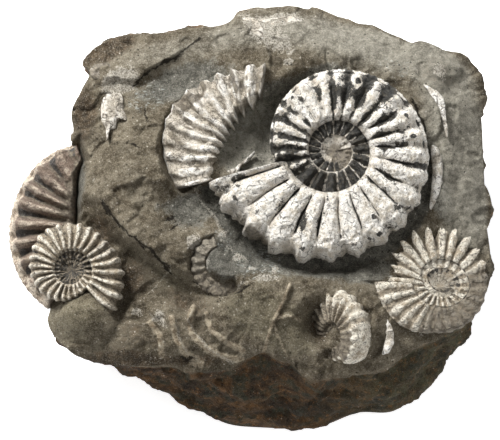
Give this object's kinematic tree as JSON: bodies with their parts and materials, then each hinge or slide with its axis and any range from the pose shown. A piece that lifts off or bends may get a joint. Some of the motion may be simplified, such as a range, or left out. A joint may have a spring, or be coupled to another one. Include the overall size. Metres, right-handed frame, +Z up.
{
  "type": "pleuroceras ammonite block",
  "caption": "Rough block of grey-brown marlstone lying flat, with ribbed white-shelled ammonites of the genus Pleuroceras set in its upper face.",
  "frame": {"origin": "on the flat underside, below the middle of the block", "axes": "+Z up, out of the fossil face; +X along the long side of the face; +Y to the back of the block"},
  "size_m": [0.1462, 0.125, 0.0602],
  "materials": {
    "marlstone": "rough, matt, grey-brown",
    "white_shell": "chalky white with dark pyrite in the furrows",
    "brown_shell": "worn, brownish cream"
  },
  "bodies": {
    "root": {"rock_matrix": "marlstone", "ammonite_large": "white_shell", "ammonite_small_left": "white_shell", "ammonite_right": "white_shell", "ammonite_tilted": "white_shell", "broken_whorl": "white_shell", "left_whorl": "brown_shell", "buried_whorl": "brown_shell", "shell_flake_right": "white_shell", "shell_edge_upper_right": "white_shell", "shell_edge_lower": "white_shell", "shell_fragment_upper_left": "white_shell", "shell_patch_back": "white_shell", "shell_crumb_at_mouth": "white_shell", "shell_scrap_left_rim": "white_shell"}
  },
  "joints": []
}
